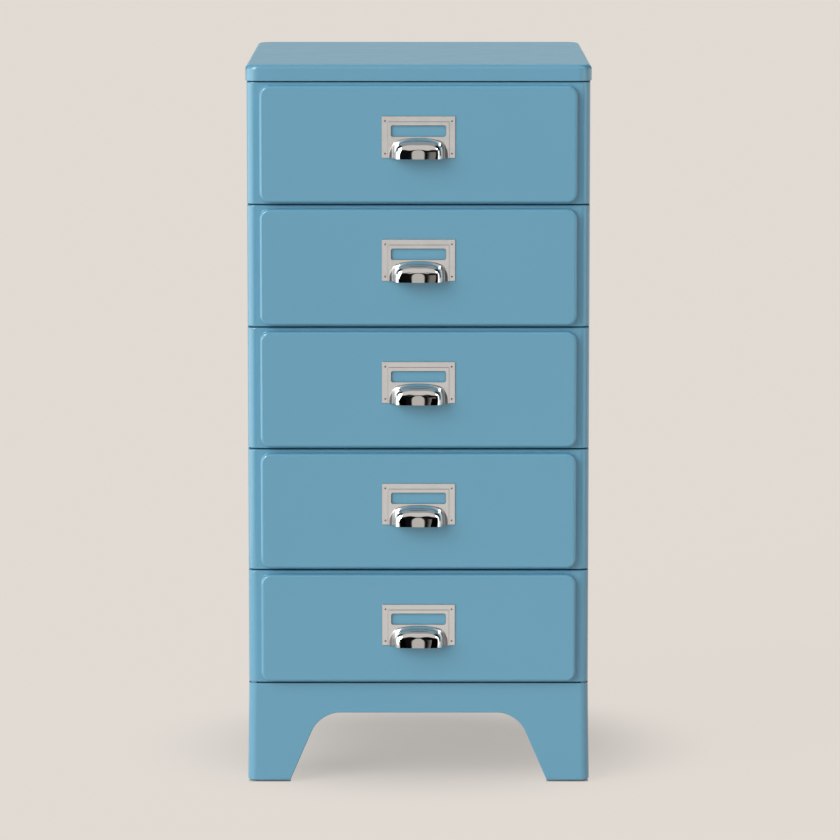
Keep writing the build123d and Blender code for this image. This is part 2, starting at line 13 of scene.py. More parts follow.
import bmesh
import bpy
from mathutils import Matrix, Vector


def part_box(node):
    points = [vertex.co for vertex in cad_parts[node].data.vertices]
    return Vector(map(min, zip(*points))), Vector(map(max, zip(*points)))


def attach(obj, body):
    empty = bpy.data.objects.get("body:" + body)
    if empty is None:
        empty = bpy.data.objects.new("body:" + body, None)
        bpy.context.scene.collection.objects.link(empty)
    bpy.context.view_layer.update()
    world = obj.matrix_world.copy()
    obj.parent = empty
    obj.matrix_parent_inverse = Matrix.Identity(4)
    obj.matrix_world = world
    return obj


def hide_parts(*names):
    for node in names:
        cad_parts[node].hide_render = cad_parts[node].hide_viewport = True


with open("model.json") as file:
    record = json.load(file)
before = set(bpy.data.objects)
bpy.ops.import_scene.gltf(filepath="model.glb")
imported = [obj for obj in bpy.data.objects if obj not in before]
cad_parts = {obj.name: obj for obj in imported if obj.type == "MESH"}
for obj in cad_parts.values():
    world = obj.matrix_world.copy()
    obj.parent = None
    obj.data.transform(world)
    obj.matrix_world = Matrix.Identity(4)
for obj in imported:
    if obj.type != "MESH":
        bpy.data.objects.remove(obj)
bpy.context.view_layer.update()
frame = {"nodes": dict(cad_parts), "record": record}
MM = 0.001
DRAWERS = (1, 2, 3, 4, 5)
print("CAD nodes:", len(frame["nodes"]))

# %% [markdown]
# ## The bench tools
#
# Every piece starts as a block between two corners and is shaped in edit mode. An
# operator acts on all that is selected, so each step first clears the selection and
# then picks faces, edges or points by where they are or which way they face. Small
# helpers do that, so that each later cell reads as a list of bench operations.


# %% Blocks and picking
def clear_selection():
    """Leaves edit mode with nothing selected."""
    if bpy.context.mode != "OBJECT":
        bpy.ops.object.mode_set(mode="OBJECT")
    bpy.ops.object.select_all(action="DESELECT")


def take(piece):
    """Makes one piece the only selected one, and the active one."""
    clear_selection()
    piece.select_set(True)
    bpy.context.view_layer.objects.active = piece


def name_primitive(name):
    """Names the primitive just added and puts its place into its mesh."""
    piece = bpy.context.object
    piece.name = piece.data.name = name
    bpy.ops.object.transform_apply(location=True, rotation=True, scale=True)
    return piece


def add_block(name, low, high):
    """A block between two corners."""
    clear_selection()
    centre = [(a + b) / 2 for a, b in zip(low, high)]
    size = [b - a for a, b in zip(low, high)]
    bpy.ops.mesh.primitive_cube_add(size=1, location=centre, scale=size)
    return name_primitive(name)


def edit(piece, kind="EDGE"):
    """Opens one piece in edit mode with nothing selected."""
    take(piece)
    bpy.ops.object.mode_set(mode="EDIT")
    bpy.ops.mesh.select_mode(type=kind)
    bpy.ops.mesh.select_all(action="DESELECT")


def close():
    """Leaves edit mode."""
    bpy.ops.object.mode_set(mode="OBJECT")


def pick(kind, test):
    """Selects only the faces, edges or verts of the open piece that pass a test."""
    bpy.ops.mesh.select_all(action="DESELECT")
    mesh = bmesh.from_edit_mesh(bpy.context.object.data)
    mesh.normal_update()
    found = [part for part in getattr(mesh, kind) if test(part)]
    for part in found:
        part.select_set(True)
    bmesh.update_edit_mesh(bpy.context.object.data)
    return len(found)


print("bench: blocks and picking")


# %% Where an edge or a face is
def middle(part):
    """The middle of an edge or a face."""
    return sum((v.co for v in part.verts), part.verts[0].co * 0) / len(part.verts)


def along(edge, axis):
    """True where an edge runs along an axis, 0 to 2."""
    run = edge.verts[1].co - edge.verts[0].co
    return abs(run[axis]) > 0.99 * run.length


HAIR = 0.05 * MM


def near(a, b, slack=HAIR):
    """True where two measures agree to within a hair."""
    return abs(a - b) < slack


print("bench: measures agree within", round(HAIR / MM, 3), "mm")


# %% Shaping in edit mode
def round_edges(radius, segments):
    """Rounds the selected edges of the open piece."""
    bpy.ops.mesh.bevel(offset=radius, segments=segments, affect="EDGES", clamp_overlap=False)


def round_corners(radius, segments):
    """Rounds the selected points of the open piece, within their face."""
    bpy.ops.mesh.bevel(offset=radius, segments=segments, affect="VERTICES", clamp_overlap=False)


def draw_out(x=0, y=0, z=0):
    """Extrudes what is selected."""
    bpy.ops.mesh.extrude_region_move(TRANSFORM_OT_translate={"value": (x, y, z)})


def throw_away(test):
    """Deletes the faces of the open piece that pass a test."""
    bpy.ops.mesh.select_mode(type="FACE")
    pick("faces", test)
    bpy.ops.mesh.delete(type="FACE")


def shift(piece, x=0, y=0, z=0):
    """Moves all of a piece within its mesh, so that its object stays at the origin."""
    edit(piece, "VERT")
    bpy.ops.mesh.select_all(action="SELECT")
    bpy.ops.transform.translate(value=(x, y, z))
    close()


print("bench: rounding, drawing out, throwing away, shifting")


# %% Modifiers, copies and joining
def apply_modifier(piece, kind, **values):
    """Adds one modifier, sets it and applies it."""
    take(piece)
    modifier = piece.modifiers.new(kind.lower(), kind)
    for key, value in values.items():
        setattr(modifier, key, value)
    bpy.ops.object.modifier_apply(modifier=modifier.name)


def fold_sheet(piece, thickness):
    """Gives an open surface the thickness of its sheet, inwards from the outer face."""
    apply_modifier(piece, "SOLIDIFY", thickness=thickness, offset=-1, use_even_offset=True)


def cut(piece, tool, operation="DIFFERENCE"):
    """Cuts or joins a piece with a tool, exactly, and puts the tool away."""
    apply_modifier(piece, "BOOLEAN", object=tool, operation=operation, solver="EXACT")
    bpy.data.objects.remove(tool)


def smooth(piece, degrees=32):
    """Shades the curves smooth, leaves the folds crisp and keeps the flat faces flat."""
    take(piece)
    bpy.ops.object.shade_smooth_by_angle(angle=math.radians(degrees))
    apply_modifier(piece, "WEIGHTED_NORMAL", keep_sharp=True, weight=50)
    print(piece.name, "faces:", len(piece.data.polygons))
    return piece


def copy_piece(piece, name):
    """A copy with a mesh of its own."""
    twin = piece.copy()
    twin.data = piece.data.copy()
    twin.name = twin.data.name = name
    bpy.context.scene.collection.objects.link(twin)
    return twin


def join(pieces, name):
    """Makes one object of several."""
    clear_selection()
    for piece in pieces:
        piece.select_set(True)
    bpy.context.view_layer.objects.active = pieces[0]
    bpy.ops.object.join()
    pieces[0].name = pieces[0].data.name = name
    return pieces[0]


print("bench: modifiers, copies and joining")

# %% [markdown]
# ## Sizes that the frame gives
#
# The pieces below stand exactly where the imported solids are, so their corners come
# from the boxes of the CAD nodes and only radii and sheet gauges are written here.
# The five drawers are alike, so the first is modelled and the others are copies moved
# down by the distance between their pulls.

# %% Read the places
lid_low, lid_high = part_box("top_cover")
case_low, case_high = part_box("right_side_panel")
plinth_low, plinth_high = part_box("plinth")
front_low, front_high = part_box("drawer_1_front")
lowest_low, lowest_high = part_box("drawer_5_front")
pull_low, pull_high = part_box("drawer_1_pull")
CASE_HALF = case_high.x
RAISED_Y = front_low.y
RISE = 8.0 * MM
BORDER_Y = RAISED_Y + RISE
RIM_Y = front_high.y
drops = [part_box(f"drawer_{n}_pull")[0].z - pull_low.z for n in DRAWERS]
print("drawers stand at", [round(d, 4) for d in drops])


def one_for_each_drawer(first, kind):
    """The first drawer's piece and its copies, moved down to the other drawers."""
    pieces = {1: first}
    for number in DRAWERS[1:]:
        pieces[number] = copy_piece(first, f"drawer_{number}_{kind}")
        shift(pieces[number], z=drops[number - 1])
    return pieces


# %% [markdown]
# ## Materials from nodes
#
# No finish here needs an image: each is a little noise in Object coordinates, which
# stay with the piece when it moves. One noise drifts between two tones, one lets the
# roughness wander, and a fine one lifts the surface. What is the same all over, such
# as a clear coat, is set on the shader's own socket.


# %% Noise, tones and ripple
def new_material(name):
    """A new node material; gives it, its nodes and its shader."""
    material = bpy.data.materials.new(name)
    material.use_nodes = True
    tree = material.node_tree
    shader = tree.nodes["Principled BSDF"]
    return material, tree, shader


def noise(tree, scale, detail=2.0):
    """Noise in Object coordinates, with scale in waves a metre."""
    place = tree.nodes.new("ShaderNodeTexCoord")
    field = tree.nodes.new("ShaderNodeTexNoise")
    field.inputs["Scale"].default_value = scale
    field.inputs["Detail"].default_value = detail
    tree.links.new(place.outputs["Object"], field.inputs["Vector"])
    return field.outputs["Fac"]


NOISE_LOW, NOISE_HIGH = 0.3, 0.7


def spread(tree, value, low, high):
    """Maps noise onto a range of plain numbers."""
    ramp = tree.nodes.new("ShaderNodeMapRange")
    ramp.inputs["From Min"].default_value = NOISE_LOW
    ramp.inputs["From Max"].default_value = NOISE_HIGH
    ramp.inputs["To Min"].default_value = low
    ramp.inputs["To Max"].default_value = high
    tree.links.new(value, ramp.inputs["Value"])
    return ramp.outputs["Result"]


def two_tones(tree, value, first, second):
    """Drifts between two colours."""
    ramp = tree.nodes.new("ShaderNodeValToRGB")
    tones = ((NOISE_LOW, first), (NOISE_HIGH, second))
    for stop, (position, colour) in zip(ramp.color_ramp.elements, tones):
        stop.position = position
        stop.color = (*colour, 1)
    tree.links.new(value, ramp.inputs["Fac"])
    return ramp.outputs["Color"]


def ripple(tree, shader, value, height):
    """Lifts the surface by noise, in metres."""
    bump = tree.nodes.new("ShaderNodeBump")
    bump.inputs["Distance"].default_value = height
    tree.links.new(value, bump.inputs["Height"])
    tree.links.new(bump.outputs["Normal"], shader.inputs["Normal"])


def make_finish(name, tones, roughness, colour_noise, rough_noise, lift_noise, height):
    """A finish of three noises, each given as its waves a metre and its detail."""
    material, tree, shader = new_material(name)
    colour = two_tones(tree, noise(tree, *colour_noise), *tones)
    tree.links.new(colour, shader.inputs["Base Color"])
    rough = spread(tree, noise(tree, *rough_noise), *roughness)
    tree.links.new(rough, shader.inputs["Roughness"])
    ripple(tree, shader, noise(tree, *lift_noise), height)
    return material, shader


print("finishes are made of noise between", NOISE_LOW, "and", NOISE_HIGH)

# %% [markdown]
# ## Blue enamel
#
# The sheet is sprayed and stoved. Such paint is smooth but never a mirror: it has a
# faint orange-peel ripple, a very slight drift of colour over a panel, and roughness
# that wanders a little. The cabinet looks new, so nothing more is painted on. A clear
# coat over it gives the tight highlights that lie on the softer sheen.

# %% Spray the enamel
enamel, shader = make_finish(
    "sprayed_enamel",
    tones=((0.126, 0.372, 0.533), (0.133, 0.382, 0.545)),
    roughness=(0.30, 0.36),
    colour_noise=(3.0,),
    rough_noise=(40.0, 4.0),
    lift_noise=(450.0,),
    height=0.01 * MM,
)
shader.inputs["Coat Weight"].default_value = 0.7
shader.inputs["Coat Roughness"].default_value = 0.07
print("enamel:", enamel.name)

# %% [markdown]
# ## Chrome, zinc and dark steel
#
# Polished chrome is almost a mirror, so its ripple is a fraction of a micrometre. The
# flat of the pull's plate is chromed too but only satin. Edges and the corner round the
# hood's foot are rougher, and their tone is painted dark as painted shade along the
# steps and in that corner. Runners and screws are zinc plated, with the cloudy look of a
# dipped coat, and the pins are dark.

# %% Plate the metals
METALS = (  # name, two tones, roughness, waves a metre, height of the ripple in mm
    ("polished_chrome", (0.80, 0.79, 0.77), (0.84, 0.83, 0.81), (0.02, 0.05), 20, 0.0005),
    ("plate_chrome", (0.76, 0.775, 0.79), (0.79, 0.805, 0.82), (0.16, 0.22), 30, 0.0001),
    # painted shade: this chrome's dark tone stands for the shade along the steps and at the
    # hood's foot
    ("shaded_edge_chrome", (0.30, 0.30, 0.30), (0.36, 0.36, 0.36), (0.3, 0.36), 30, 0.0001),
    ("pin_steel", (0.20, 0.20, 0.20), (0.26, 0.26, 0.26), (0.3, 0.4), 200, 0.0001),
    ("zinc_plate", (0.60, 0.61, 0.62), (0.68, 0.69, 0.69), (0.28, 0.42), 90, 0.01),
)


def make_metal(name, first, second, roughness, waves, height):
    """A plated metal: its three noises keep to each other's scale."""
    material, shader = make_finish(
        name, (first, second), roughness, (waves,), (waves * 4, 4.0), (waves * 10,), height * MM
    )
    shader.inputs["Metallic"].default_value = 1.0
    return material


chrome, plate_chrome, shaded_edge_chrome, pin_steel, zinc = (make_metal(*row) for row in METALS)
print("metals:", [row[0] for row in METALS])

# %% [markdown]
# ## Nylon and rubber-like plastic
#
# The glides are natural nylon, off-white and slightly waxy. The pads under the feet are
# a matt black plastic. Both have a fine moulded grain.

# %% Mould the plastics
PLASTICS = (  # name, two tones, roughness
    ("glide_nylon", (0.80, 0.79, 0.74), (0.84, 0.83, 0.78), (0.42, 0.52)),
    ("pad_black", (0.028, 0.028, 0.03), (0.036, 0.036, 0.038), (0.6, 0.75)),
)


def make_plastic(name, first, second, roughness):
    """A moulded plastic."""
    grain = ((60.0,), (300.0,), (900.0,))
    return make_finish(name, (first, second), roughness, *grain, 0.03 * MM)[0]


nylon, pad_black = (make_plastic(*row) for row in PLASTICS)
print("plastics:", [row[0] for row in PLASTICS])

# %% [markdown]
# ## Dressing the nodes that stay
#
# Rails, runners, trays, inner fronts, glides and the plinth's screws keep their CAD
# shapes, because the solids already have every fold. Each gets the finish that the
# record names for it.

# %% Finishes by slot
FINISHES = {
    "blue_enamel": enamel,
    "nickel_chrome": chrome,
    "zinc_steel": zinc,
    "nylon": nylon,
    "black_pad": pad_black,
}
slot_of = {entry["node"]: entry["material_slot"] for entry in frame["record"]["subparts"]}
for node_name, node in frame["nodes"].items():
    for place in node.material_slots:
        place.material = FINISHES[slot_of[node_name]]
print("nodes dressed:", len(slot_of))


def put(piece, body, slot, *nodes, materials=None):
    """Gives a new piece its materials, by slot unless given, its body, and hides its nodes."""
    piece.data.materials.clear()
    for material in materials or (FINISHES[slot],):
        piece.data.materials.append(material)
    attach(piece, body)
    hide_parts(*nodes)
    return piece


# %% [markdown]
# ## The lid
#
# The real lid is one pressed pan: rounded corners in plan, a rolled top edge, and a
# lip turned in under the front. It could be a curve swept round a path, but a block
# with two rounds of bevels gives the same form with even faces. The bottom face then
# goes, the lip is drawn out of the open front edge, and the sheet gets its gauge.

# %% Press the lid
LID_SHEET, LID_LIP = 1.2 * MM, 12 * MM
LID_FRONT_CORNER, LID_REAR_CORNER, LID_EDGE = 14 * MM, 18 * MM, 5 * MM
lid = add_block("lid_shell", lid_low, lid_high)
edit(lid)
pick("edges", lambda e: along(e, 2) and middle(e).y < 0)
round_edges(LID_FRONT_CORNER, 10)
pick("edges", lambda e: along(e, 2) and middle(e).y > lid_high.y - MM)
round_edges(LID_REAR_CORNER, 12)
pick("edges", lambda e: near(middle(e).z, lid_high.z))
round_edges(LID_EDGE, 6)
throw_away(lambda f: near(middle(f).z, lid_low.z) and f.normal.z < -0.9)
bpy.ops.mesh.select_mode(type="EDGE")
pick(
    "edges",
    lambda e: near(middle(e).z, lid_low.z) and near(middle(e).y, lid_low.y) and along(e, 0),
)
draw_out(y=LID_LIP)
fold_sheet(lid, LID_SHEET)
put(smooth(lid), "cabinet", "blue_enamel", "top_cover")

# %% [markdown]
# ## The case sides
#
# Each side is one folded sheet with a rounded rear corner, a bend at the top and
# returns at the rear, top and bottom. The block's open front and inner faces are cut
# away, so what is left is that sheet. A strip along the front edge is its hem.

# %% Fold the sides
CASE_SHEET, REAR_CORNER, TOP_BEND = 1.0 * MM, 12.5 * MM, 3.9 * MM
HEM_SHEET, HEM_DEPTH, HEM_EDGE = 1.2 * MM, 12 * MM, 0.8 * MM
RETURN_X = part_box("right_side_panel")[0].x
HEM_X = CASE_HALF - CASE_SHEET - HEM_SHEET


def fold_side(name, node, side):
    """One side of the case; side is -1 on the left and 1 on the right."""
    xs = sorted((side * RETURN_X, side * CASE_HALF))
    panel = add_block(name, (xs[0], case_low.y, case_low.z), (xs[1], case_high.y, case_high.z))

    def outer(edge):
        return side * middle(edge).x > RETURN_X + MM

    edit(panel)
    pick("edges", lambda e: along(e, 2) and outer(e) and middle(e).y > 0)
    round_edges(REAR_CORNER, 10)
    pick(
        "edges",
        lambda e: near(middle(e).z, case_high.z) and outer(e) and middle(e).y > case_low.y + MM,
    )
    round_edges(TOP_BEND, 5)
    throw_away(lambda f: side * f.normal.x < -0.9 or f.normal.y < -0.9)
    fold_sheet(panel, CASE_SHEET)
    xs = sorted((side * HEM_X, side * (CASE_HALF - CASE_SHEET)))
    hem = add_block(
        "hem",
        (xs[0], case_low.y, case_low.z),
        (xs[1], case_low.y + HEM_DEPTH, case_high.z - TOP_BEND),
    )
    edit(hem)
    pick("edges", lambda e: along(e, 2) and near(side * middle(e).x, HEM_X))
    round_edges(HEM_EDGE, 3)
    close()
    return put(smooth(join([panel, hem], name)), "cabinet", "blue_enamel", node)


fold_side("left_case_side", "left_side_panel", -1)
fold_side("right_case_side", "right_side_panel", 1)

# %% [markdown]
# ## The plinth
#
# One pressed shell: it spreads by a millimetre or so towards the floor, and an arch in
# every wall leaves four bracket feet. The edge of each arch is turned in over a small
# fold. A solid block is cut by two bars with the arch's outline, its inside is thrown
# away, and the arch edges of the skin are drawn inwards before the sheet gets its
# gauge. That way the turned edge and the wall are one surface.

# %% The arch bars
PLINTH_SHEET, FLARE, ARCH_RETURN = 1.2 * MM, 1.5 * MM, 10 * MM
FRONT_FOOT, SIDE_FOOT = 42 * MM, 46 * MM
ARCH_TOP, ARCH_SLOPE, ARCH_CORNER = 70.3 * MM, math.radians(23.5), 30 * MM
BAR_FOOT, BAR_REACH = -5 * MM, 300 * MM
PAD = plinth_low.z
middle_y = (plinth_low.y + plinth_high.y) / 2
half_depth = (plinth_high.y - plinth_low.y) / 2


def arch_bar(half, cross):
    """A bar with the arch's outline, front to back or, if cross, side to side."""
    bar = add_block("arch_bar", (-half, -BAR_REACH, BAR_FOOT), (half, BAR_REACH, ARCH_TOP))
    edit(bar, "VERT")
    for level in (ARCH_TOP, BAR_FOOT):
        pick("verts", lambda v: near(v.co.z, level))
        wide = (half - level * math.tan(ARCH_SLOPE)) / half
        bpy.ops.transform.resize(value=(wide, 1, 1), center_override=(0, 0, 0))
    bpy.ops.mesh.select_mode(type="EDGE")
    pick("edges", lambda e: along(e, 1) and near(middle(e).z, ARCH_TOP))
    round_edges(ARCH_CORNER * math.tan((math.pi / 2 - ARCH_SLOPE) / 2), 14)
    bpy.ops.mesh.select_all(action="SELECT")
    if cross:
        bpy.ops.transform.rotate(
            value=math.radians(90), orient_axis="Z", center_override=(0, 0, 0)
        )
    bpy.ops.transform.translate(value=(0, middle_y, 0))
    close()
    return bar


print("arches slope by", round(math.degrees(ARCH_SLOPE), 1), "degrees")

# %% The plinth's block and its arches
FRONT_CORNER = 9 * MM
shell = add_block(
    "plinth_shell",
    (-CASE_HALF, plinth_low.y + FLARE, PAD),
    (CASE_HALF, plinth_high.y - FLARE, plinth_high.z),
)
edit(shell)
pick("edges", lambda e: along(e, 2) and middle(e).y < 0)
round_edges(FRONT_CORNER, 10)
pick("edges", lambda e: along(e, 2) and middle(e).y > plinth_high.y - FLARE - MM)
round_edges(REAR_CORNER, 10)
bpy.ops.mesh.select_mode(type="VERT")
pick("verts", lambda v: near(v.co.z, PAD))
bpy.ops.transform.resize(
    value=(1 + FLARE / CASE_HALF, half_depth / (half_depth - FLARE), 1),
    center_override=(0, middle_y, 0),
)
close()
cut(shell, arch_bar(plinth_high.x - FRONT_FOOT, False))
cut(shell, arch_bar(half_depth - SIDE_FOOT, True))
print("block with its arches:", len(shell.data.polygons), "faces")


# %% Throw away the inside
TOP_FLANGE, SOLE_EDGE = 26 * MM, 2.5 * MM


def outside(face):
    """True for the faces of the plinth that someone can touch from outside."""
    place = middle(face)
    beside = abs(place.x) > CASE_HALF - 3 * MM
    before_or_behind = abs(place.y - middle_y) > half_depth - 4.5 * MM
    level = abs(face.normal.z) > 0.9 and not near(place.z, ARCH_TOP, MM)
    return beside or before_or_behind or level


edit(shell, "FACE")
throw_away(lambda f: not outside(f))
pick("faces", lambda f: near(middle(f).z, plinth_high.z))
bpy.ops.mesh.inset(thickness=TOP_FLANGE)
bpy.ops.mesh.delete(type="FACE")
bpy.ops.mesh.select_mode(type="EDGE")
pick("edges", lambda e: near(middle(e).z, PAD) and not e.is_boundary)
round_edges(SOLE_EDGE, 4)
print("skin of the plinth:", len(bmesh.from_edit_mesh(shell.data).faces), "faces")

# %% Turn in the arch edges
ARCH_FOLD, WALL_SLACK = 0.9 * MM, 0.02 * MM
wall_sides = (
    (lambda p: p.y - middle_y < -half_depth + FLARE + WALL_SLACK, {"y": ARCH_RETURN}),
    (lambda p: p.y - middle_y > half_depth - FLARE - WALL_SLACK, {"y": -ARCH_RETURN}),
    (lambda p: p.x < -CASE_HALF + WALL_SLACK, {"x": ARCH_RETURN}),
    (lambda p: p.x > CASE_HALF - WALL_SLACK, {"x": -ARCH_RETURN}),
)
for on_wall, inwards in wall_sides:
    found = pick(
        "edges",
        lambda e: e.is_boundary
        and middle(e).z < plinth_high.z - MM
        and all(on_wall(v.co) for v in e.verts),
    )
    print("arch edges:", found)
    draw_out(**inwards)
folds = pick(
    "edges",
    lambda e: e.is_manifold and middle(e).z < ARCH_TOP + MM and e.calc_face_angle() > 1.0,
)
round_edges(ARCH_FOLD, 3)
print("arch folds rounded:", folds)
close()
fold_sheet(shell, PLINTH_SHEET)
put(smooth(shell), "cabinet", "blue_enamel", "plinth")

# %% [markdown]
# ## The back
#
# The back is a flat sheet set between the rear returns, with a shallow field pressed
# into it so that it does not drum. One face is inset for the field, its corners are
# rounded as points, and three small insets draw the soft step.

# %% Press the rear cover
BACK_SHEET, SWAGE_RISE, SWAGE_MARGIN = 0.8 * MM, 0.8 * MM, 28 * MM
CASE_FLANGE, SWAGE_CORNER = 26 * MM, 12 * MM
SWAGE_STEPS = ((0.5, 0.15), (0.4, 0.5), (0.5, 0.15))  # inwards and outwards, in mm
rear_low, rear_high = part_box("back_panel")
rear_y = rear_high.y - SWAGE_RISE
rear = add_block(
    "rear_cover", (rear_low.x, rear_y - MM, rear_low.z), (rear_high.x, rear_y, rear_high.z)
)
edit(rear, "FACE")
throw_away(lambda f: f.normal.y < 0.9)
bpy.ops.mesh.select_all(action="SELECT")
bpy.ops.mesh.inset(thickness=SWAGE_MARGIN)
bpy.ops.mesh.select_mode(type="VERT")
pick("verts", lambda v: abs(v.co.x) < rear_high.x - MM)
field_x = CASE_HALF - CASE_FLANGE - SWAGE_MARGIN
bpy.ops.transform.resize(
    value=(field_x / (rear_high.x - SWAGE_MARGIN), 1, 1), center_override=(0, rear_y, 0)
)
round_corners(SWAGE_CORNER, 8)
bpy.ops.mesh.select_mode(type="FACE")
pick("faces", lambda f: f.calc_area() > 0.05)
for inward, outward in SWAGE_STEPS:
    bpy.ops.mesh.inset(thickness=inward * MM, depth=outward * MM)
close()
fold_sheet(rear, BACK_SHEET)
put(smooth(rear), "cabinet", "blue_enamel", "back_panel")

# %% [markdown]
# ## The screws of the back
#
# Six pan-head screws hold the back. One is turned from a round bar: its rim is rounded
# and a cross recess is cut into the head with two small blocks. The thread is hidden,
# so the shank is plain. Copies of it are set out and joined, as one set of fasteners.


# %% Turn a fastener and set it out
def turn_pin(name, radius, start, end, sides=24):
    """A round bar along Y, from one place to another."""
    clear_selection()
    bpy.ops.mesh.primitive_cylinder_add(
        vertices=sides,
        radius=radius,
        depth=end - start,
        location=(0, (start + end) / 2, 0),
        rotation=(math.radians(90), 0, 0),
    )
    return name_primitive(name)


def round_rim(pin, rim_y, radius):
    """Rounds the rim of a round bar at one end."""
    edit(pin)
    pick("edges", lambda e: all(near(v.co.y, rim_y) for v in e.verts))
    round_edges(radius, 4)
    close()


def set_out(first, name, places):
    """Copies one fastener to each place, x and z, and joins the set."""
    fasteners = []
    for x, z in places:
        fasteners.append(copy_piece(first, name))
        shift(fasteners[-1], x=x, z=z)
    bpy.data.objects.remove(first)
    return join(fasteners, name)


print("bench: turning, rounding rims and setting out")

# %% The six screws
HEAD_RADIUS, HEAD_HEIGHT, HEAD_EDGE = 3.4 * MM, 1.4 * MM, 0.9 * MM
SHANK_RADIUS, SHANK = 1.7 * MM, 6 * MM
RECESS_DEPTH, RECESS_WIDE, RECESS_LONG = 0.9 * MM, 0.5 * MM, 1.9 * MM
screw_low, screw_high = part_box("back_screws")
head_y = screw_high.y
head_seat = head_y - HEAD_HEIGHT
screw = turn_pin("rear_screw", HEAD_RADIUS, head_seat, head_y)
round_rim(screw, head_y, HEAD_EDGE)
for x, z in ((RECESS_WIDE, RECESS_LONG), (RECESS_LONG, RECESS_WIDE)):
    cut(screw, add_block("recess", (-x, head_y - RECESS_DEPTH, -z), (x, head_y + MM, z)))
shank = turn_pin("shank", SHANK_RADIUS, head_seat - SHANK, head_seat)
screw = smooth(join([screw, shank], "rear_screw"), 40)
middle_z = (screw_low.z + screw_high.z) / 2
rows = (screw_low.z + HEAD_RADIUS, middle_z, screw_high.z - HEAD_RADIUS)
columns = (screw_low.x + HEAD_RADIUS, screw_high.x - HEAD_RADIUS)
screws = set_out(screw, "rear_screws", [(x, z) for x in columns for z in rows])
put(screws, "cabinet", "zinc_steel", "back_screws")
print("rear screws stand at", [round(z, 4) for z in rows])

# %% [markdown]
# ## A drawer front
#
# Each front is one pressing: a flat border whose ends wrap round the corners of the
# cabinet, and a raised panel with a rolled edge. The border's outer face is inset, the
# inset's sides are moved to the panel's own margins, its corners are rounded as points,
# and the panel is drawn out. Every fold is then rounded by its own radius.

# %% Press the border
SIDE_MARGIN, TOP_MARGIN, BOTTOM_MARGIN = 13 * MM, 3.2 * MM, 1.9 * MM
CORNER_RADIUS, RIM_RADIUS, INSET, FOOT = 9 * MM, 1.2 * MM, 0.2 * MM, 0.5 * MM
face = add_block("drawer_1_face", (front_low.x, BORDER_Y, front_low.z), front_high)
edit(face)
pick("edges", lambda e: along(e, 2) and near(middle(e).y, BORDER_Y))
round_edges(CORNER_RADIUS, 9)
throw_away(lambda f: f.normal.y > 0.9)
bpy.ops.mesh.select_mode(type="EDGE")
rims = (front_low.z, front_high.z)
pick(
    "edges",
    lambda e: any(near(middle(e).z, z) for z in rims) and not near(middle(e).y, RIM_Y),
)
round_edges(RIM_RADIUS, 4)
bpy.ops.mesh.select_mode(type="FACE")
pick("faces", lambda f: f.normal.y < -0.99 and near(middle(f).y, BORDER_Y))
bpy.ops.mesh.inset(thickness=INSET)
print("border:", len(bmesh.from_edit_mesh(face.data).faces), "faces")


# %% Lay out the raised panel
def move_side(axis, start, end):
    """Moves the inset's points that lie on one side to their own margin."""
    pick("verts", lambda v: near(v.co.y, BORDER_Y) and near(v.co[axis], start))
    step = [0, 0, 0]
    step[axis] = end - start
    bpy.ops.transform.translate(value=step)


PANEL_CORNER = 9.5 * MM
flat_x = front_high.x - CORNER_RADIUS - INSET
flat_low, flat_high = front_low.z + RIM_RADIUS + INSET, front_high.z - RIM_RADIUS - INSET
panel_x = front_high.x - SIDE_MARGIN + FOOT
bpy.ops.mesh.select_mode(type="VERT")
move_side(0, -flat_x, -panel_x)
move_side(0, flat_x, panel_x)
move_side(2, flat_low, front_low.z + BOTTOM_MARGIN - FOOT)
move_side(2, flat_high, front_high.z - TOP_MARGIN + FOOT)
pick("verts", lambda v: near(v.co.y, BORDER_Y) and near(abs(v.co.x), panel_x))
round_corners(PANEL_CORNER + FOOT, 9)
print("raised panel reaches", round(panel_x, 4), "to each side")

# %% Draw out the panel
FRONT_SHEET, PANEL_EDGE = 1.0 * MM, 3 * MM
FOOT_STEPS = ((0.5, 0.13), (0.37, 0.37), (0.13, 0.5))  # inwards and outwards, in feet
bpy.ops.mesh.select_mode(type="FACE")
pick("faces", lambda f: f.normal.y < -0.99 and f.calc_area() > 0.02)
for inward, outward in FOOT_STEPS:
    bpy.ops.mesh.inset(thickness=inward * FOOT, depth=outward * FOOT)
draw_out(y=FOOT - RISE)
bpy.ops.mesh.select_mode(type="EDGE")
pick("edges", lambda e: near(middle(e).y, RAISED_Y))
round_edges(PANEL_EDGE, 6)
fold_sheet(face, FRONT_SHEET)
smooth(face)

# %% Copy it to the other drawers
# The lowest front is a little shallower, so its lower half moves up again.
faces = one_for_each_drawer(face, "face")
shortening = (front_high.z - front_low.z) - (lowest_high.z - lowest_low.z)
halfway = (front_low.z + front_high.z) / 2 + drops[-1]
edit(faces[DRAWERS[-1]], "VERT")
pick("verts", lambda v: v.co.z < halfway)
bpy.ops.transform.translate(value=(0, 0, shortening))
close()
for number, piece in faces.items():
    put(piece, f"drawer_{number}", "blue_enamel", f"drawer_{number}_front")
print("the lowest front is shorter by", round(shortening / MM, 2), "mm")

# %% [markdown]
# ## The label-frame pull
#
# The pull is one stamping, polished and chromed: a plate, a field that stands a card's
# thickness proud of it, a window for the label, and a hood drawn out below the window.
# The plate is plain cutting: two blocks joined, and a recess and a window taken out.
# The cut edges are rounded a little, because an edge of a stamping catches the light.

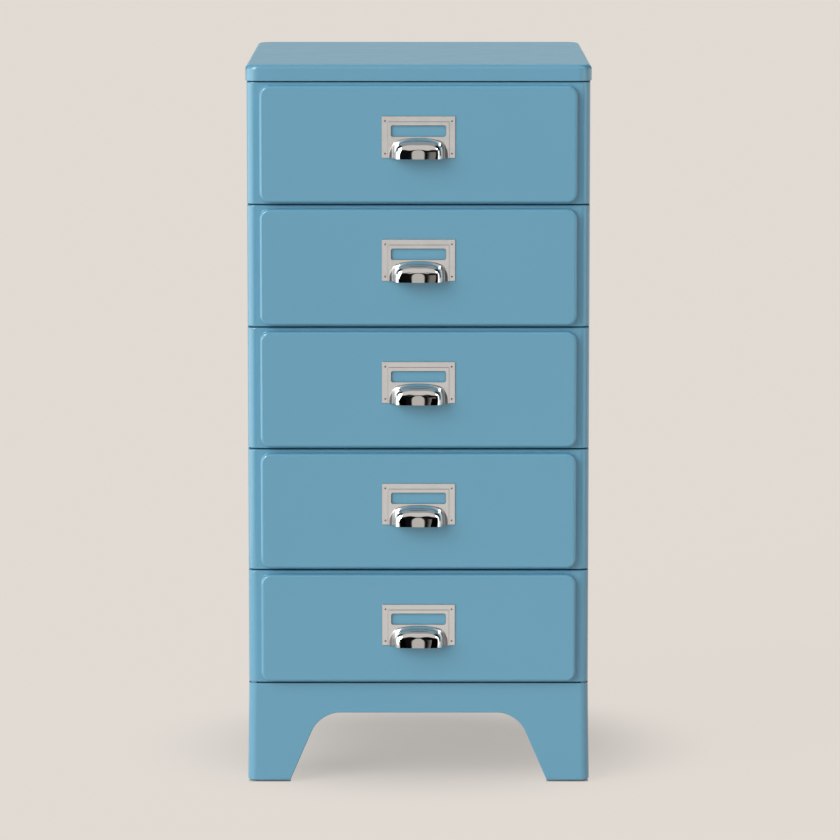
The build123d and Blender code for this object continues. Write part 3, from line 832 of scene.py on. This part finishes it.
# %% The plate and its field
PLATE_SHEET, STANDOFF = 0.9 * MM, 1.0 * MM
PLATE_CORNER, PLATE_EDGE, FIELD_CORNER, FIELD_EDGE = 0.8 * MM, 0.35 * MM, 1.0 * MM, 0.4 * MM
PLATE_Y = RAISED_Y - PLATE_SHEET
FIELD_Y = RAISED_Y - STANDOFF - PLATE_SHEET
plate_low, plate_top = pull_low.z, pull_high.z
plate_half = pull_high.x
field_half, field_top = plate_half - 5.9 * MM, plate_top - 5.4 * MM
plate = add_block("plate", (-plate_half, PLATE_Y, plate_low), (plate_half, RAISED_Y, plate_top))
edit(plate)
pick("edges", lambda e: along(e, 1))
round_edges(PLATE_CORNER, 3)
pick("edges", lambda e: near(middle(e).y, PLATE_Y))
round_edges(PLATE_EDGE, 3)
close()
field = add_block("field", (-field_half, FIELD_Y, plate_low), (field_half, RAISED_Y, field_top))
edit(field)
pick("edges", lambda e: along(e, 1) and near(middle(e).z, field_top))
round_edges(FIELD_CORNER, 3)
pick("edges", lambda e: near(middle(e).y, FIELD_Y))
round_edges(FIELD_EDGE, 3)
close()
cut(plate, field, "UNION")
print("plate and field:", len(plate.data.polygons), "faces")

# %% The recess behind the field and the label window
WINDOW_HALF, WINDOW_HEIGHT, WINDOW_DROP = 27.15 * MM, 11 * MM, 9.2 * MM
WINDOW_CORNER, WINDOW_EDGE, PAST = 2.0 * MM, 0.25 * MM, 5 * MM
recess_half = field_half - PLATE_SHEET
recess = add_block(
    "recess",
    (-recess_half, RAISED_Y - STANDOFF, plate_low - PAST),
    (recess_half, RAISED_Y + PAST, field_top - PLATE_SHEET),
)
cut(plate, recess)
window_top = plate_top - WINDOW_DROP
window_low = window_top - WINDOW_HEIGHT
window = add_block(
    "window", (-WINDOW_HALF, FIELD_Y - PAST, window_low), (WINDOW_HALF, RAISED_Y, window_top)
)
edit(window)
pick("edges", lambda e: along(e, 1))
round_edges(WINDOW_CORNER, 5)
close()
cut(plate, window)
edit(plate)
around = 0.2 * MM
pick(
    "edges",
    lambda e: near(middle(e).y, FIELD_Y)
    and abs(middle(e).x) < WINDOW_HALF + around
    and window_low - around < middle(e).z < window_top + around
    and not all(f.normal.y < -0.99 for f in e.link_faces),
)
round_edges(WINDOW_EDGE, 2)
close()
print("plate with its window:", len(plate.data.polygons), "faces")

# %% [markdown]
# ## The hood
#
# The hood is what a hand meets: a shallow dome, open underneath and spread at its foot
# where the metal flows into the field. Bevelled blocks give hard mitres, which chrome
# shows at once, so it is a subdivision surface. Half a ring of ten points is set to the
# outline on the field, drawn forward six times with another ring each time, closed
# across the front in quads, and smoothed.

# %% The outline on the field
HOOD_RINGS = (  # how far forward, then five points from the foot to the top, x and z, in mm
    (0.0, (29.5, 0), (29.4, 6.5), (27.8, 10.3), (24.6, 17.2), (10.0, 20.0)),
    (0.5, (28.9, 0), (28.8, 6.4), (27.2, 10.2), (24.3, 17.0), (10.0, 19.97)),
    (0.9, (25.4, 0), (25.3, 6.4), (24.9, 10.2), (23.8, 16.5), (10.0, 19.9)),
    (2.6, (24.6, 0), (24.5, 6.6), (24.1, 10.8), (23.0, 15.8), (10.0, 19.5)),
    (8.0, (24.2, 0), (24.0, 6.4), (23.3, 10.2), (20.8, 14.6), (9.6, 17.7)),
    (12.2, (21.6, 0), (21.4, 5.4), (20.6, 8.8), (18.0, 11.8), (9.0, 14.4)),
    (14.5, (17.0, 0), (16.8, 4.0), (16.2, 6.6), (14.6, 8.3), (7.8, 9.4)),
)
clear_selection()
bpy.ops.mesh.primitive_circle_add(
    vertices=20,
    radius=30 * MM,
    location=(0, FIELD_Y, plate_low),
    rotation=(math.radians(90), math.radians(9), 0),
)
hood = name_primitive("hood")
edit(hood, "VERT")
pick("verts", lambda v: v.co.z < plate_low)
bpy.ops.mesh.delete(type="VERT")
bpy.ops.mesh.select_all(action="SELECT")
print("half ring:", len(bmesh.from_edit_mesh(hood.data).verts), "points")


# %% Draw the rings forward
def ring_order(vert):
    """Counts a ring's points from the right foot over the top to the left."""
    return math.atan2(vert.co.z - plate_low, vert.co.x)


def set_ring(forward, points):
    """Moves the ten points of the half ring that was drawn last to an outline."""
    drawn = [v for v in bmesh.from_edit_mesh(hood.data).verts if v.select]
    starts = [v.co.copy() for v in sorted(drawn, key=ring_order)]
    sides = [(x, z) for x, z in points] + [(-x, z) for x, z in reversed(points)]
    for start, (x, z) in zip(starts, sides):
        pick("verts", lambda v: (v.co - start).length < 0.01 * MM)
        target = (x * MM, FIELD_Y - forward * MM, plate_low + z * MM)
        bpy.ops.transform.translate(value=[b - a for a, b in zip(start, target)])
    pick("edges", lambda e: all(near(v.co.y, FIELD_Y - forward * MM) for v in e.verts))


CLEAR = -30 * MM
for order, (forward, *points) in enumerate(HOOD_RINGS):
    if order:
        draw_out(y=CLEAR)
    set_ring(forward, points)
print("rings:", len(HOOD_RINGS))

# %% Close the front, swell it and lean it back
NOSE, LEAN = 1.0 * MM, math.radians(7.0)
nose_y = FIELD_Y - HOOD_RINGS[-1][0] * MM
bpy.ops.mesh.edge_face_add()
for x, z in HOOD_RINGS[-1][2:5]:
    pick("verts", lambda v: near(v.co.y, nose_y) and near(v.co.z, plate_low + z * MM))
    bpy.ops.mesh.vert_connect()
bpy.ops.mesh.select_mode(type="EDGE")
pick("edges", lambda e: along(e, 0) and near(middle(e).x, 0))
bpy.ops.mesh.subdivide(number_cuts=1)
bpy.ops.mesh.select_mode(type="VERT")
pick("verts", lambda v: near(v.co.x, 0) and near(v.co.y, nose_y))
bpy.ops.transform.translate(value=(0, -NOSE, 0))
pick("verts", lambda v: v.co.y < nose_y + 0.1 * MM)
bpy.ops.transform.rotate(
    value=LEAN, orient_axis="X", center_override=(0, nose_y - NOSE, plate_low)
)
bpy.ops.mesh.select_all(action="SELECT")
bpy.ops.mesh.normals_make_consistent(inside=False)
close()
apply_modifier(hood, "SUBSURF", levels=3, render_levels=3)
points_out = sum(f.normal.y < 0 for f in hood.data.polygons)
print("hood faces that point out:", points_out, "of", len(hood.data.polygons))

# %% [markdown]
# ## Hood and plate in one
#
# The hood gets its wall inwards, its back rim is set a little into the field, and the
# metal behind it is cut away, as it is where a hood is drawn out of a sheet. The cutter
# is the hood's own rim, made a little smaller and drawn through the field.

# %% Set the hood on the plate
RIM_SINK, NARROWER, LOWER = 0.4 * MM, 0.955, 0.93
behind = copy_piece(hood, "behind_hood")
fold_sheet(hood, PLATE_SHEET)
edit(hood, "VERT")
pick("verts", lambda v: v.co.y > FIELD_Y - 0.01 * MM)
bpy.ops.transform.translate(value=(0, RIM_SINK, 0))
close()
edit(behind, "VERT")
pick("verts", lambda v: v.co.y < FIELD_Y - 0.01 * MM)
bpy.ops.mesh.delete(type="VERT")
bpy.ops.mesh.select_all(action="SELECT")
bpy.ops.transform.resize(value=(NARROWER, 1, LOWER), center_override=(0, FIELD_Y, plate_low))
bpy.ops.transform.translate(value=(0, -2 * MM, 0))
bpy.ops.mesh.edge_face_add()
draw_out(y=6 * MM)
bpy.ops.mesh.select_all(action="SELECT")
bpy.ops.mesh.normals_make_consistent(inside=False)
pick("verts", lambda v: v.co.z < plate_low + 0.05 * MM)
bpy.ops.transform.translate(value=(0, 0, -3 * MM))
close()
cut(plate, behind)
cut(plate, hood, "UNION")
plate.name = plate.data.name = "drawer_1_handle"
handles = one_for_each_drawer(smooth(plate, 40), "handle")
print("pulls:", len(handles))

# %% [markdown]
# ## Three finishes on one pull
#
# The hood is polished to a mirror and the flat of the plate is satin. The sheared edges
# and the hood's foot are rougher, and their tone is painted dark as painted shade along
# the steps and in the corner at the foot. One mesh can carry all three: each face is
# given the number of its finish by where it is and which way it faces.

# %% Polish the hood and paint shade on the edges and the foot
# painted shade: the hood's foot takes the dark-toned chrome this far out from the field
SHADED_FOOT, HOOD_HALF, HOOD_TOP = 2.2 * MM, 30 * MM, 20.5 * MM
MIRROR, SATIN, DULL_AND_SHADED = 0, 1, 2
for number, piece in handles.items():
    finishes = (chrome, plate_chrome, shaded_edge_chrome)
    nodes = (f"drawer_{number}", "nickel_chrome", f"drawer_{number}_pull")
    put(piece, *nodes, materials=finishes)
    hood_top = plate_low + drops[number - 1] + HOOD_TOP
    for polygon in piece.data.polygons:
        place, faces_out = polygon.center, polygon.normal.y < -0.97
        on_hood = abs(place.x) < HOOD_HALF and place.z < hood_top
        polygon.material_index = MIRROR
        # painted shade: the plate's edges and the hood's foot take the chrome whose tone is
        # painted dark
        if place.y > FIELD_Y - 0.01 * MM:
            if faces_out:
                polygon.material_index = SATIN
            elif not on_hood:
                polygon.material_index = DULL_AND_SHADED
        elif place.y > FIELD_Y - SHADED_FOOT and polygon.normal.y < 0:
            polygon.material_index = DULL_AND_SHADED
counts = [0, 0, 0]
for polygon in handles[1].data.polygons:
    counts[polygon.material_index] += 1
print("mirror, satin and dull faces:", counts)

# %% [markdown]
# ## The pins
#
# Four small domed pins hold each plate. One is turned as a short bar whose rim is
# rounded almost to its middle, and a set is copied out from it, as with the screws.

# %% Set the pins
PIN_SEAT, PIN_RADIUS, PIN_HEIGHT = 1.2 * MM, 1.0 * MM, 0.5 * MM
PIN_ROOT = PIN_EDGE = 0.4 * MM
pin_low, pin_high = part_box("drawer_1_pull_pins")
pin_y = PLATE_Y - PIN_HEIGHT
pin = turn_pin("pin", PIN_RADIUS, pin_y, PLATE_Y + PIN_ROOT, sides=20)
round_rim(pin, pin_y, PIN_EDGE)
columns = (pin_low.x + PIN_SEAT, pin_high.x - PIN_SEAT)
rows = (pin_low.z + PIN_SEAT, pin_high.z - PIN_SEAT)
pins = smooth(set_out(pin, "drawer_1_pins", [(x, z) for x in columns for z in rows]), 40)
put(pins, "drawer_1", "nickel_chrome", "drawer_1_pull_pins", materials=(pin_steel,))
# The copies are made of the finished set, then each is set on its own drawer.
pin_sets = one_for_each_drawer(pins, "pins")
for number in DRAWERS[1:]:
    nodes = (f"drawer_{number}", "nickel_chrome", f"drawer_{number}_pull_pins")
    put(pin_sets[number], *nodes, materials=(pin_steel,))
print("sets of pins:", len(pin_sets))

# %% [markdown]
# ## The floor
#
# The object stands on one wide pale floor that runs past the top of the picture, so no
# horizon shows. Its paper tone is given to what looks at it or mirrors it, and less so
# close to the cabinet, so that the soft shadow stays. Right under the feet the paper
# tone is left out, and the thin gap over the pads stays dark.


# %% Sums and limits in nodes
def sum_node(tree, operation, *values):
    """One plain sum on numbers or on the outputs of other nodes."""
    node = tree.nodes.new("ShaderNodeMath")
    node.operation = operation
    for place, value in enumerate(values):
        if isinstance(value, (int, float)):
            node.inputs[place].default_value = value
        else:
            tree.links.new(value, node.inputs[place])
    return node.outputs[0]


def smooth_step(tree, value, start, end, low=0.0, high=1.0):
    """Rises softly from low to high while a value goes from start to end."""
    step = tree.nodes.new("ShaderNodeMapRange")
    step.interpolation_type = "SMOOTHSTEP"
    step.inputs["From Min"].default_value = start
    step.inputs["From Max"].default_value = end
    step.inputs["To Min"].default_value = low
    step.inputs["To Max"].default_value = high
    tree.links.new(value, step.inputs["Value"])
    return step.outputs["Result"]


def between(tree, value, low, high, soft):
    """1 where a value lies between two limits, with soft edges."""
    rise = smooth_step(tree, value, low - soft, low + soft)
    fall = smooth_step(tree, value, high - soft, high + soft)
    return sum_node(tree, "SUBTRACT", rise, fall)


print("nodes: sums, soft steps and limits")

# %% Lay the floor
FLOOR_SIZE = 120
FLOOR_DIFFUSE, FLOOR_PAPER = (0.74, 0.685, 0.635, 1), (0.768, 0.714, 0.663, 1)
SHADOW_START, SHADOW_END = 0.12, 0.32  # metres from the middle of the cabinet
SHARE_NEAR, SHARE_FAR, FEET_SHADE = 0.55, 0.94, 0.9
clear_selection()
bpy.ops.mesh.primitive_plane_add(size=FLOOR_SIZE, location=(0, 0, 0))
floor = bpy.context.object
floor.name = "floor"
floor_material, tree, shader = new_material("pale_floor")
shader.inputs["Base Color"].default_value = FLOOR_DIFFUSE
shader.inputs["Roughness"].default_value = 1.0
shader.inputs["Specular IOR Level"].default_value = 0.0
paper = tree.nodes.new("ShaderNodeEmission")
paper.inputs["Color"].default_value = FLOOR_PAPER
place = tree.nodes.new("ShaderNodeTexCoord")
away = tree.nodes.new("ShaderNodeVectorMath")
away.operation = "LENGTH"
tree.links.new(place.outputs["Object"], away.inputs[0])
share = smooth_step(
    tree, away.outputs["Value"], SHADOW_START, SHADOW_END, SHARE_NEAR, SHARE_FAR
)
seen = tree.nodes.new("ShaderNodeLightPath")
looked_at = seen.outputs["Is Camera Ray"]
for mirrored_ray in ("Is Glossy Ray", "Is Transmission Ray"):
    looked_at = sum_node(tree, "MAXIMUM", looked_at, seen.outputs[mirrored_ray])
print("floor:", FLOOR_SIZE, "m wide")

# %% Keep it dark under the feet
axes = tree.nodes.new("ShaderNodeSeparateXYZ")
tree.links.new(place.outputs["Object"], axes.inputs[0])
across = sum_node(tree, "ABSOLUTE", axes.outputs[0])
deep = sum_node(tree, "ABSOLUTE", sum_node(tree, "SUBTRACT", axes.outputs[1], middle_y))
foot_x = (plinth_high.x - FRONT_FOOT - MM, plinth_high.x - MM)
foot_y = (half_depth - SIDE_FOOT - MM, half_depth - 1.5 * MM)
under_feet = sum_node(
    tree,
    "MULTIPLY",
    between(tree, across, *foot_x, 0.5 * MM),
    between(tree, deep, *foot_y, 0.5 * MM),
)
shaded = sum_node(tree, "MULTIPLY", under_feet, FEET_SHADE)
open_floor = sum_node(tree, "SUBTRACT", 1.0, shaded)
seen_share = sum_node(tree, "MULTIPLY", share, looked_at)
floor_mix = tree.nodes.new("ShaderNodeMixShader")
tree.links.new(sum_node(tree, "MULTIPLY", seen_share, open_floor), floor_mix.inputs["Fac"])
tree.links.new(shader.outputs[0], floor_mix.inputs[1])
tree.links.new(paper.outputs[0], floor_mix.inputs[2])
tree.links.new(floor_mix.outputs[0], tree.nodes["Material Output"].inputs["Surface"])
floor.data.materials.append(floor_material)
print("feet stand from", [round(v, 4) for v in foot_x], "to each side")

# %% [markdown]
# ## The mirrored studio
#
# Chrome shows what stands round it, so mirrored rays see a studio painted on the sky:
# a pale dome with a grey ceiling, dark sides, a blue-grey rear, and in front a dark
# wall with a pale opening and a dim one beside it. Two small bright lamps, high at the
# left and right, give the spots on the corners. All other rays see one plain pale sky
# that is a little brighter on the left.

# %% Directions in the sky
PLAIN_SKY, PLAIN_LEVEL, PLAIN_TILT = (0.93, 0.96, 1.0, 1), 0.58, 0.38
world = bpy.data.worlds.new("studio")
bpy.context.scene.world = world
world.use_nodes = True
tree = world.node_tree
tree.nodes.clear()
direction = tree.nodes.new("ShaderNodeTexCoord")
split = tree.nodes.new("ShaderNodeSeparateXYZ")
tree.links.new(direction.outputs["Generated"], split.inputs["Vector"])
to_right, to_rear, up = split.outputs
# 0 straight in front of the drawers, growing to the right, in radians
azimuth = sum_node(tree, "ARCTAN2", to_right, sum_node(tree, "MULTIPLY", to_rear, -1.0))
print("sky tree:", len(tree.nodes), "nodes")

# %% Paint the sky
DOME, CEILING = (0.66, 0.63, 0.60, 1), (0.30, 0.33, 0.36, 1)
CEILING_HEIGHT = 0.88
DARK, BLUE_GREY = (0.006, 0.006, 0.007), (0.33, 0.46, 0.52)
ROUND = 9.0  # past any azimuth
SKY_PATCHES = (  # azimuths, heights, colour, softness of the edges
    ((-ROUND, -0.85), (-0.4, 0.9), DARK, 0.02),
    ((0.85, ROUND), (-0.4, 0.9), DARK, 0.02),
    ((-ROUND, -2.75), (-0.4, 0.9), BLUE_GREY, 0.02),
    ((2.75, ROUND), (-0.4, 0.9), BLUE_GREY, 0.02),
    ((-1.0, 1.0), (-0.4, 0.46), (0.004, 0.004, 0.005), 0.02),
    ((-1.0, -0.55), (0.50, 0.72), (11.0, 11.0, 11.0), 0.02),
    ((0.60, 0.95), (0.50, 0.70), (5.0, 5.0, 5.0), 0.02),
    ((-0.09, 0.08), (-0.4, 0.38), (0.55, 0.52, 0.49), 0.01),
    ((0.15, 0.42), (-0.02, 0.22), (0.20, 0.19, 0.18), 0.04),
)


def layer(under, mask, colour):
    """Lays one colour over the sky where its mask is 1."""
    mix = tree.nodes.new("ShaderNodeMix")
    mix.data_type = "RGBA"
    tree.links.new(mask, mix.inputs["Factor"])
    if isinstance(under, tuple):
        mix.inputs[6].default_value = under
    else:
        tree.links.new(under, mix.inputs[6])
    mix.inputs[7].default_value = colour
    return mix.outputs[2]


sky = layer(DOME, between(tree, up, CEILING_HEIGHT, 2.0, 0.03), CEILING)
for azimuths, heights, colour, soft in SKY_PATCHES:
    sideways = between(tree, azimuth, *azimuths, soft)
    upwards = between(tree, up, *heights, soft)
    sky = layer(sky, sum_node(tree, "MULTIPLY", sideways, upwards), (*colour, 1))
print("patches in the sky:", len(SKY_PATCHES))

# %% One sky for mirrored rays, one for the rest
light_path = tree.nodes.new("ShaderNodeLightPath")
mirrored = tree.nodes.new("ShaderNodeBackground")
tree.links.new(sky, mirrored.inputs["Color"])
plain = tree.nodes.new("ShaderNodeBackground")
plain.inputs["Color"].default_value = PLAIN_SKY
tilt = sum_node(tree, "MULTIPLY", to_right, PLAIN_TILT)
tree.links.new(sum_node(tree, "SUBTRACT", PLAIN_LEVEL, tilt), plain.inputs["Strength"])
chooser = tree.nodes.new("ShaderNodeMixShader")
tree.links.new(light_path.outputs["Is Glossy Ray"], chooser.inputs["Fac"])
tree.links.new(plain.outputs[0], chooser.inputs[1])
tree.links.new(mirrored.outputs[0], chooser.inputs[2])
world_output = tree.nodes.new("ShaderNodeOutputWorld")
tree.links.new(chooser.outputs[0], world_output.inputs["Surface"])
print("sky tree:", len(tree.nodes), "nodes")

# %% [markdown]
# ## Cards and flags
#
# An upright surface seen from slightly above mirrors downwards, to the floor and not to
# the sky. So white cards stand on the floor at both sides, and black flags in front.
# Only mirrored rays see them: they draw the bright edge on every left-hand curve, the
# white cheeks of the hoods and the dark lines beside them.

# %% Stand the cards
CARDS = (  # name, two corners in metres, brightness
    ("left_card", (-1.52, -1.2, 0.0), (-1.50, 0.55, 0.9), 2.1),
    ("left_flag", (-1.03, -1.52, 0.0), (-0.27, -1.50, 0.6), 0.0),
    ("right_flag", (0.27, -1.52, 0.0), (1.25, -1.50, 0.6), 0.0),
    ("right_strip", (1.50, -1.6, 0.0), (1.52, -0.67, 1.3), 1.4),
    ("right_rear_strip", (1.50, 0.05, 0.0), (1.52, 1.0, 1.3), 1.0),
)
for name, low, high, brightness in CARDS:
    card = add_block(name, low, high)
    material, tree, shader = new_material(name)
    glow = tree.nodes.new("ShaderNodeEmission")
    glow.inputs["Strength"].default_value = brightness
    tree.links.new(glow.outputs[0], tree.nodes["Material Output"].inputs["Surface"])
    card.data.materials.append(material)
    card.visible_camera = card.visible_diffuse = card.visible_shadow = False
print("cards and flags:", len(CARDS))

# %% [markdown]
# ## The lamp and the camera
#
# One broad sun from the upper left lights the front and leaves the right side darker,
# with a soft shadow on the floor. The camera is a long lens far off. A fit to the
# seams, the widths and the lid's edges gave 5000 pixels of focal length and a view
# 7.57 degrees down, so the perspective is slight.

# %% The key lamp
bpy.ops.object.light_add(type="SUN", location=(-2, -2, 3))
key = bpy.context.object
key.name = "key_sun"
key.data.energy = 1.75
key.data.angle = math.radians(45)
key.data.color = (1.0, 0.97, 0.93)
key.rotation_euler = (math.radians(66), 0, math.radians(-48))
print("key lamp:", key.data.energy)

# %% The camera
FOCAL_PIXELS, PICTURE, SENSOR = 5000, 840, 36
DISTANCE, HEIGHT, SIDEWAYS, DOWN = 4.934, 1.0224, 0.0015, 7.572
bpy.ops.object.camera_add(
    location=(SIDEWAYS, BORDER_Y - DISTANCE, HEIGHT), rotation=(math.radians(90 - DOWN), 0, 0)
)
camera = bpy.context.object
camera.data.sensor_width = SENSOR
camera.data.lens = SENSOR * FOCAL_PIXELS / PICTURE
camera.data.clip_end = 200
bpy.context.scene.camera = camera
bpy.context.scene.view_settings.view_transform = "Standard"
print("lens:", round(camera.data.lens, 1), "mm")
